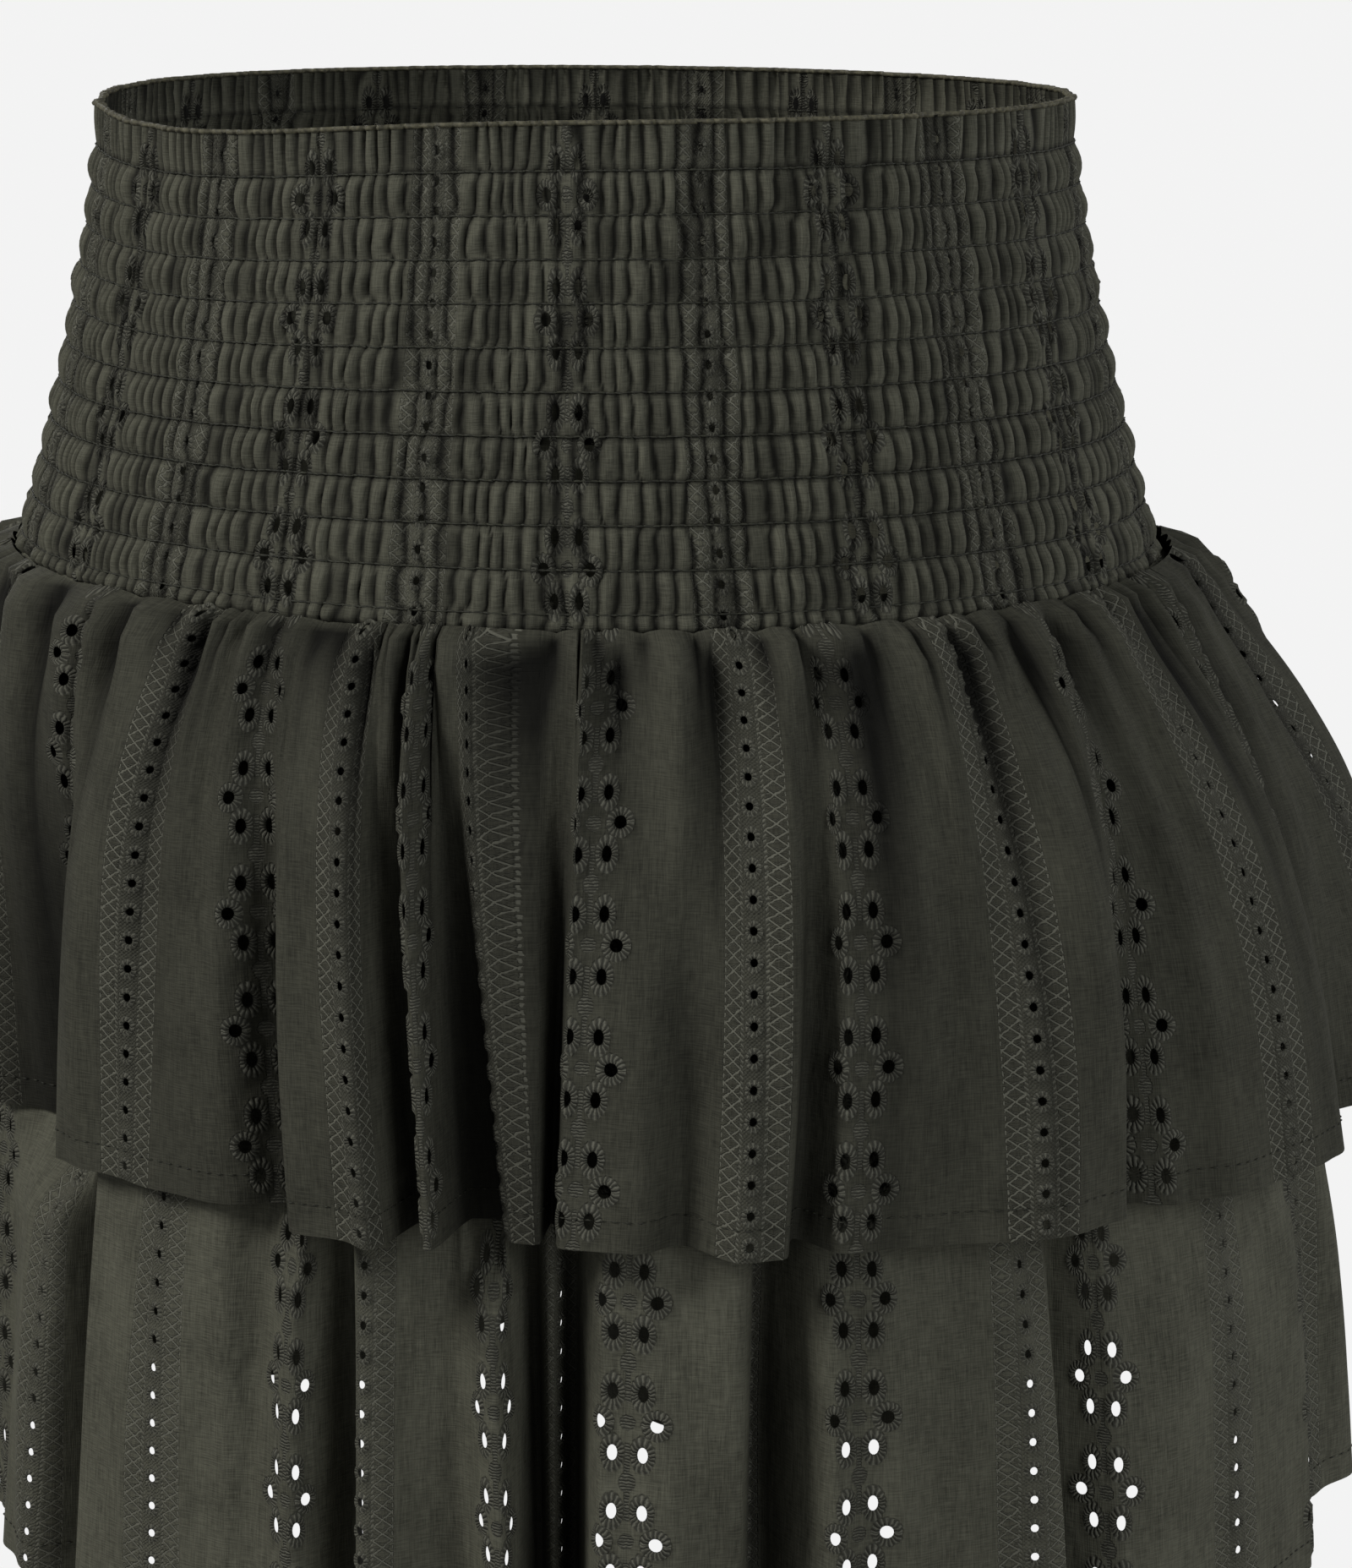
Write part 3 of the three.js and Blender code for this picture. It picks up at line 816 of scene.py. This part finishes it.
def shared_cloth():
    """Node groups, materials, surfaces and cloth repeats, each made once."""
    if not SHARED:
        cloth = bpy.context.scene.skort_cloth
        SHARED["embroidery"] = embroidery_group()
        SHARED["weave"] = weave_group()
        colour, yarn = tuple(cloth.cloth_colour), tuple(cloth.thread_colour)
        # Painted shade: the upper ruffle gets a darker copy of the one cloth.
        upper, lower = (tuple(share * c for c in colour) for share in (cloth.upper_shaded_tone, cloth.lower_tone))
        SHARED["voile"] = cotton_material("embroidered voile", upper, yarn)
        SHARED["sheer_voile"] = cotton_material("sheer embroidered voile", lower, yarn)
        SHARED["yoke_cloth"] = cotton_material("shirred voile", colour, yarn, waver=0.9)
        SHARED["plain"] = cotton_material("plain cotton", colour, yarn, embroidered=False)
        SHARED["stitch"] = thread_material("shirring thread", tuple(cloth.stitch_colour))
        SHARED["edge"] = thread_material("overlock thread", tuple(cloth.edge_colour))
        SHARED["yoke"] = Yoke()
        SHARED["upper"] = Tier(UPPER_LEVELS, UPPER_FOLDS, UPPER_LEANS, -8.5, 40, 1.0)
        SHARED["lower"] = Tier(LOWER_LEVELS, LOWER_FOLDS, LOWER_LEANS, -6.3, 60, 0.3, SHARED["upper"])
        SHARED["front_cell"] = cloth_cell(112, 20)
        SHARED["back_cell"] = cloth_cell(112, 20, pierced=False)
        SHARED["cell"] = cloth_cell(cloth.repeat_columns, cloth.repeat_rows)
    return SHARED


class SkortCloth(bpy.types.PropertyGroup):
    cloth_colour: FloatVectorProperty(
        name="Cloth", description="Colour of the dyed voile", subtype="COLOR", default=(0.076, 0.076, 0.057)
    )
    thread_colour: FloatVectorProperty(
        name="Embroidery",
        description="Colour of the embroidery thread",
        subtype="COLOR", default=(0.135, 0.135, 0.108),
    )
    stitch_colour: FloatVectorProperty(
        name="Stitching",
        description="Colour of the shirring rows",
        subtype="COLOR", default=(0.020, 0.021, 0.012),
    )
    edge_colour: FloatVectorProperty(
        name="Overlock",
        description="Colour of the overlocked rim",
        subtype="COLOR", default=(0.075, 0.070, 0.042),
    )
    # Painted shade: the upper ruffle is the same cloth as the rest, darkened to this share of its colour.
    upper_shaded_tone: FloatProperty(
        name="Upper ruffle tone", description="Colour share of the upper ruffle", default=0.58
    )
    lower_tone: FloatProperty(
        name="Lower ruffle tone", description="Colour share of the lower ruffle", default=1.0
    )
    repeat_columns: IntProperty(
        name="Columns", description="Mesh columns in one repeat of the ruffles", default=50
    )
    repeat_rows: IntProperty(name="Rows", description="Mesh rows in one repeat of the ruffles", default=12)


class SkortStage(bpy.types.PropertyGroup):
    azimuth: FloatProperty(
        name="Turn", description="The camera's turn towards +X, in degrees", default=20.0
    )
    distance: FloatProperty(
        name="Distance", description="Camera to the garment's axis", default=1.05, unit="LENGTH"
    )
    height: FloatProperty(name="Height", description="Camera above the rim", default=0.065, unit="LENGTH")
    pitch: FloatProperty(name="Pitch", description="The camera's tilt down, in degrees", default=12.75)
    swing: FloatProperty(
        name="Swing", description="How far the axis is left of the middle, in degrees", default=1.25
    )
    lens: FloatProperty(name="Lens", description="Focal length for a 36 mm long side", default=98.0)
    key: FloatProperty(
        name="Key light", description="Power of the left front softbox in watts", default=35.0
    )
    fill: FloatProperty(name="Fill light", description="Power of the right softbox in watts", default=15.0)
    rim: FloatProperty(
        name="Rim light", description="Power of the right back softbox in watts", default=14.0
    )
    back: FloatProperty(name="Back light", description="Power of the back softbox in watts", default=11.2)
    ambient: FloatProperty(name="Ambient", description="Strength of the even light", default=0.05)
    floor: FloatProperty(name="Floor", description="Height of the floor", default=-0.95, unit="LENGTH")
    paper: FloatProperty(
        name="Paper", description="How bright the camera sees the studio paper", default=0.897
    )
    bounce: FloatProperty(
        name="Bounce", description="Strength of the light from the studio paper", default=0.24
    )


# Each half's name, first turn and last turn.
HALVES = (("front", -90.0, 90.0), ("back", 90.0, 270.0))


def flat_range(surface, first, last):
    """The flat places of a half's side seams."""
    total = surface.flat[-1]
    start = float(surface.along(first))
    end = float(surface.along(last if last <= 180 else last - 360)) + (total if last > 180 else 0)
    return start, end


class Wrapped:
    """A surface whose flat places may run past the centre back."""

    def __init__(self, surface):
        self.surface = surface
        self.phase = surface.phase
        self.flat = surface.flat

    def along(self, turn):
        return self.surface.along(turn)

    def at(self, s, v):
        return self.surface.at(s % self.surface.flat[-1], v)

    def hollow(self, s, v):
        return self.surface.hollow(s % self.surface.flat[-1], v)


class SKORT_OT_yoke(bpy.types.Operator):
    """Shirred yoke, front and back, puckered between its stitched rows"""

    bl_idname = "skort.yoke"
    bl_label = "Shirred yoke"

    def execute(self, context):
        shared = shared_cloth()
        surface = Wrapped(shared["yoke"])
        rows = joined([shirring_row(surface, v) for v in shared["yoke"].stitches[1:-1]])
        sewn = [
            trim(mesh_object("shirring_rows", *rows, shared["stitch"])),
            trim(mesh_object("rim_overlock", *rim_roll(surface), shared["edge"])),
        ]
        for half, first, last in HALVES:
            start, end = flat_range(surface, first, last)
            deep, cell, cloth = YOKE["depth"], shared[f"{half}_cell"], shared["yoke_cloth"]
            piece = panel_on(surface, f"yoke_{half}", start, end, deep, cell, cloth)
            dress(piece, f"band_{half}")
        return {"FINISHED"}


def tier_pieces(label, surface, material, cell):
    """Both halves of a ruffle."""
    surface = Wrapped(surface)
    length = surface.surface.length
    row = stitch_row(surface, surface.flat[-1] - 0.1, length - HEM)
    sewn = [trim(mesh_object(f"{label}_hem_stitches", *row, SHARED["stitch"]))]
    for half, first, last in HALVES:
        start, end = flat_range(surface, first, last)
        piece = panel_on(surface, f"{label}_ruffle_{half}", start, end, length, cell, material)
        dress(piece, f"{label}_tier_{half}")


class SKORT_OT_upper_ruffle(bpy.types.Operator):
    """Upper ruffle, gathered into the yoke's seam"""

    bl_idname = "skort.upper_ruffle"
    bl_label = "Upper ruffle"

    def execute(self, context):
        shared = shared_cloth()
        tier_pieces("upper", shared["upper"], shared["voile"], shared["cell"])
        return {"FINISHED"}


class SKORT_OT_lower_ruffle(bpy.types.Operator):
    """Longer lower ruffle, under the upper one"""

    bl_idname = "skort.lower_ruffle"
    bl_label = "Lower ruffle"

    def execute(self, context):
        shared = shared_cloth()
        tier_pieces("lower", shared["lower"], shared["sheer_voile"], shared["cell"])
        return {"FINISHED"}


def shorts_leg(hand):
    """One leg of the shorts as a fine sheet on the solid's form."""
    levels = rows_of(SHORTS_LEVELS, SHORTS_COLUMNS)
    down = -levels["z"]
    rows, columns = 90, 150
    v = np.linspace(down[0], down[-1], rows + 1)
    at = {name: smooth_table(down, levels[name], v)[:, None] for name in SHORTS_COLUMNS}
    cut = np.radians(at["open"])
    wide = (at["side"] - at["inner"]) / (1 + np.cos(cut))
    share = np.linspace(0, 1, columns + 1)[None, :]
    turn = cut + (2 * np.pi - 2 * cut) * share
    crease = wander(90 + hand, (18, 50), 420.0)
    flat = share * 420.0 + 0 * at["z"]
    ripple = crease(flat + 0.5 * (v[:, None] - 104)) * 0.5 * np.sin(np.pi * share)
    x = at["side"] - wide - (wide + ripple) * np.cos(turn)
    y = -(at["deep"] + ripple) * np.sin(turn)
    points = np.stack([hand * x, y, at["z"] + 0 * x], -1).reshape(-1, 3)
    index = np.arange((rows + 1) * (columns + 1)).reshape(rows + 1, columns + 1)
    a, b, c, d = index[:-1, :-1], index[:-1, 1:], index[1:, 1:], index[1:, :-1]
    triangles = net(a, b, c, d)
    if hand < 0:
        triangles = triangles[:, ::-1]
    pattern = np.stack([flat, v[:, None] + 0 * flat], -1).reshape(-1, 2)
    return points, triangles, pattern


class SKORT_OT_shorts(bpy.types.Operator):
    """Plain inner shorts, one piece for each leg"""

    bl_idname = "skort.shorts"
    bl_label = "Inner shorts"

    def execute(self, context):
        shared = shared_cloth()
        for side, hand in (("right", 1), ("left", -1)):
            points, triangles, pattern = shorts_leg(hand)
            piece = mesh_object(f"inner_shorts_{side}", points, triangles, shared["plain"], pattern)
            dress(piece, f"shorts_{side}")
        return {"FINISHED"}


def stitch_row(surface, width, v):
    """A row of short hem stitches on the cloth: spindles with a square middle."""
    pitch, length, radius, lift = (HEM_STITCH[key] for key in ("pitch", "length", "radius", "lift"))
    count = int(width / pitch)
    s = (np.arange(count) + 0.5) * width / count
    height = np.full(count, v)
    ends = [surface.at(s + side * length / 2, height) for side in (-1, 1)]
    out = normals_at(surface, s, height)
    middle = surface.at(s, height) + out * lift
    along = ends[1] - ends[0]
    along /= np.linalg.norm(along, axis=1)[:, None]
    side = np.cross(out, along)
    ring_points = [middle + (out * a + side * b) * radius for a, b in ((1, 0), (0, 1), (-1, 0), (0, -1))]
    start, end = (point + out * lift * 0.4 for point in ends)
    points = np.stack([start, *ring_points, end], 1).reshape(-1, 3)
    one = [(0, 1 + (k + 1) % 4, 1 + k) for k in range(4)] + [(5, 1 + k, 1 + (k + 1) % 4) for k in range(4)]
    triangles = (np.array(one)[None] + 6 * np.arange(count)[:, None, None]).reshape(-1, 3)
    return points, triangles


def joined(parts):
    """Several lots of points and triangles as one."""
    points, triangles, count = [], [], 0
    for p, t in parts:
        points.append(p)
        triangles.append(t + count)
        count += len(p)
    return np.concatenate(points), np.concatenate(triangles)


def tube(path, out, swell, sides):
    """A closed thread along a path, as thick as swell says at each place: its points and triangles."""
    angles = np.arange(sides) / sides * 2 * np.pi
    up = np.array([0, 0, 1.0])
    corners = [path + (out * np.cos(a) + up * np.sin(a)) * swell[:, None] for a in angles]
    points = np.stack(corners, 1).reshape(-1, 3)
    index = np.arange(len(points)).reshape(-1, sides)
    after, beside = np.roll(index, -1, 0), np.roll(index, -1, 1)
    return points, net(index, beside, np.roll(after, -1, 1), after)


def shirring_row(surface, v):
    """One row of machine stitches that follows the puckers, pinched between stitches."""
    count = SHIRRING_THREAD["samples"]
    s = np.arange(count) / count * BAND_FLAT["around"]
    height = np.full(count, float(v))
    out = normals_at(surface, s, height)
    path = surface.at(s, height) + out * SHIRRING_THREAD["lift"]
    path = (path + np.roll(path, 1, 0) + np.roll(path, -1, 0)) / 3
    pinched = np.arange(count) % SHIRRING_THREAD["every"] == 0
    return tube(path, out, np.where(pinched, SHIRRING_THREAD["pinched"], SHIRRING_THREAD["radius"]), 4)


def rim_roll(surface):
    """The overlocked edge along the rim: a thin roll, uneven by its stitches."""
    count = OVERLOCK["samples"]
    s = np.arange(count) / count * BAND_FLAT["around"]
    path = surface.at(s, np.zeros(count))
    out = path * (1, 1, 0)
    out /= np.linalg.norm(out, axis=1)[:, None]
    swell = OVERLOCK["radius"] * (1 + OVERLOCK["uneven"] * np.sin(s * 2 * np.pi / OVERLOCK["pitch"]))
    return tube(path + (0, 0, OVERLOCK["lift"]), out, swell, 6)


# Softboxes: name, place, width and height in metres, and colour.
LIGHTS = (
    ("key", (-1.45, -1.25, 1.15), (0.7, 0.7), (1.0, 0.985, 0.96)),
    ("fill", (1.7, -1.3, 0.5), (0.9, 1.4), (0.97, 0.985, 1.0)),
    ("rim", (1.9, 1.3, 0.7), (0.8, 1.6), (1.0, 1.0, 1.0)),
    ("back", (-1.5, 1.7, 0.7), (1.0, 1.4), (1.0, 1.0, 1.0)),
)


def area_light(name, place_at, size, power, colour):
    light = bpy.data.lights.new(name, "AREA")
    light.shape = "RECTANGLE"
    light.size, light.size_y = size
    light.energy = power
    light.color = colour
    lamp = bpy.data.objects.new(name, light)
    lamp.location = place_at
    aim = Vector((0.0, 0.0, -0.2)) - Vector(place_at)
    lamp.rotation_euler = aim.to_track_quat("-Z", "Y").to_euler()
    bpy.context.collection.objects.link(lamp)
    return lamp


def stage_material(seen, lit):
    """Evenly lit pale paper: how bright the camera sees it, and how much light it sends to the cloth."""
    material, tree, shader = blank_material("studio paper")
    tree.nodes.remove(shader)
    glow = tree.nodes.new("ShaderNodeEmission")
    glow.inputs["Color"].default_value = (1.0, 1.0, 1.0, 1.0)
    camera = Value(tree, tree.nodes.new("ShaderNodeLightPath").outputs["Is Camera Ray"])
    tree.links.new((camera * (seen - lit) + lit).source, glow.inputs["Strength"])
    tree.links.new(glow.outputs[0], tree.nodes["Material Output"].inputs["Surface"])
    material.cycles.emission_sampling = "NONE"
    return material


def studio_floor(height):
    """A floor that curves up into a wall all round: rings of a wide shallow bowl."""
    rings, sides = 40, 96
    radius = np.linspace(0.05, 9.0, rings)
    rise = np.clip((radius - 4.0) / 5.0, 0, 1) ** 2 * 9.0
    a = np.arange(sides) / sides * 2 * np.pi
    grid = np.stack(
        [radius[:, None] * np.cos(a), radius[:, None] * np.sin(a), height + rise[:, None] + 0 * a[None]], -1
    )
    index = np.arange(rings * sides).reshape(rings, sides)
    a0, b0 = index[:-1], index[1:]
    a1, b1 = np.roll(a0, -1, 1), np.roll(b0, -1, 1)
    triangles = net(a0, a1, b1, b0)
    middle = np.array([[0.0, 0.0, height]])
    fan = np.array([[rings * sides, k, (k + 1) % sides] for k in range(sides)])
    return np.concatenate([grid.reshape(-1, 3), middle]) / MM, np.concatenate([triangles, fan])


class SKORT_OT_stage(bpy.types.Operator):
    """Pale floor, soft lights and the camera"""

    bl_idname = "skort.stage"
    bl_label = "Stage and camera"

    def execute(self, context):
        stage = context.scene.skort_stage
        paper = stage_material(stage.paper, stage.bounce)
        floor = mesh_object("studio_floor", *studio_floor(stage.floor), paper)
        for name, place_at, size, colour in LIGHTS:
            area_light(name, place_at, size, getattr(stage, name), colour)
        world = bpy.data.worlds.new("studio")
        world.use_nodes = True
        tree = world.node_tree
        seen = Value(tree, tree.nodes.new("ShaderNodeLightPath").outputs["Is Camera Ray"])
        backdrop = tree.nodes["Background"]
        backdrop.inputs[0].default_value = (0.9, 0.9, 0.9, 1.0)
        tree.links.new((seen * (1.0 - stage.ambient) + stage.ambient).source, backdrop.inputs[1])
        context.scene.world = world
        context.scene.view_settings.view_transform = "Standard"
        turn, pitch, swing = (np.radians(a) for a in (stage.azimuth, stage.pitch, stage.swing))
        lens = bpy.data.cameras.new("camera")
        lens.sensor_fit = "VERTICAL"
        lens.sensor_height = 36.0
        lens.lens = stage.lens
        lens.clip_end = 60.0
        camera = bpy.data.objects.new("camera", lens)
        camera.location = (stage.distance * np.sin(turn), -stage.distance * np.cos(turn), stage.height)
        camera.rotation_euler = (np.pi / 2 - pitch, 0.0, turn - swing)
        context.collection.objects.link(camera)
        context.scene.camera = camera
        return {"FINISHED"}


class SKORT_PT_panel(bpy.types.Panel):
    bl_label = "Skort"
    bl_idname = "SKORT_PT_panel"
    bl_space_type = "VIEW_3D"
    bl_region_type = "UI"
    bl_category = "Skort"

    def draw(self, context):
        for operator in OPERATORS:
            self.layout.operator(operator.bl_idname)
        for group in (context.scene.skort_cloth, context.scene.skort_stage):
            for name in group.bl_rna.properties.keys():
                if name not in ("rna_type", "name"):
                    self.layout.prop(group, name)


OPERATORS = (
    SKORT_OT_yoke,
    SKORT_OT_upper_ruffle,
    SKORT_OT_lower_ruffle,
    SKORT_OT_shorts,
    SKORT_OT_stage,
)
CLASSES = (SkortCloth, SkortStage, *OPERATORS, SKORT_PT_panel)


def register():
    for item in CLASSES:
        bpy.utils.register_class(item)
    bpy.types.Scene.skort_cloth = PointerProperty(type=SkortCloth)
    bpy.types.Scene.skort_stage = PointerProperty(type=SkortStage)


def unregister():
    del bpy.types.Scene.skort_stage
    del bpy.types.Scene.skort_cloth
    for item in reversed(CLASSES):
        bpy.utils.unregister_class(item)


def main():
    register()
    bpy.ops.skort.yoke()
    bpy.ops.skort.upper_ruffle()
    bpy.ops.skort.lower_ruffle()
    bpy.ops.skort.shorts()
    bpy.ops.skort.stage()


if __name__ == "__main__":
    main()
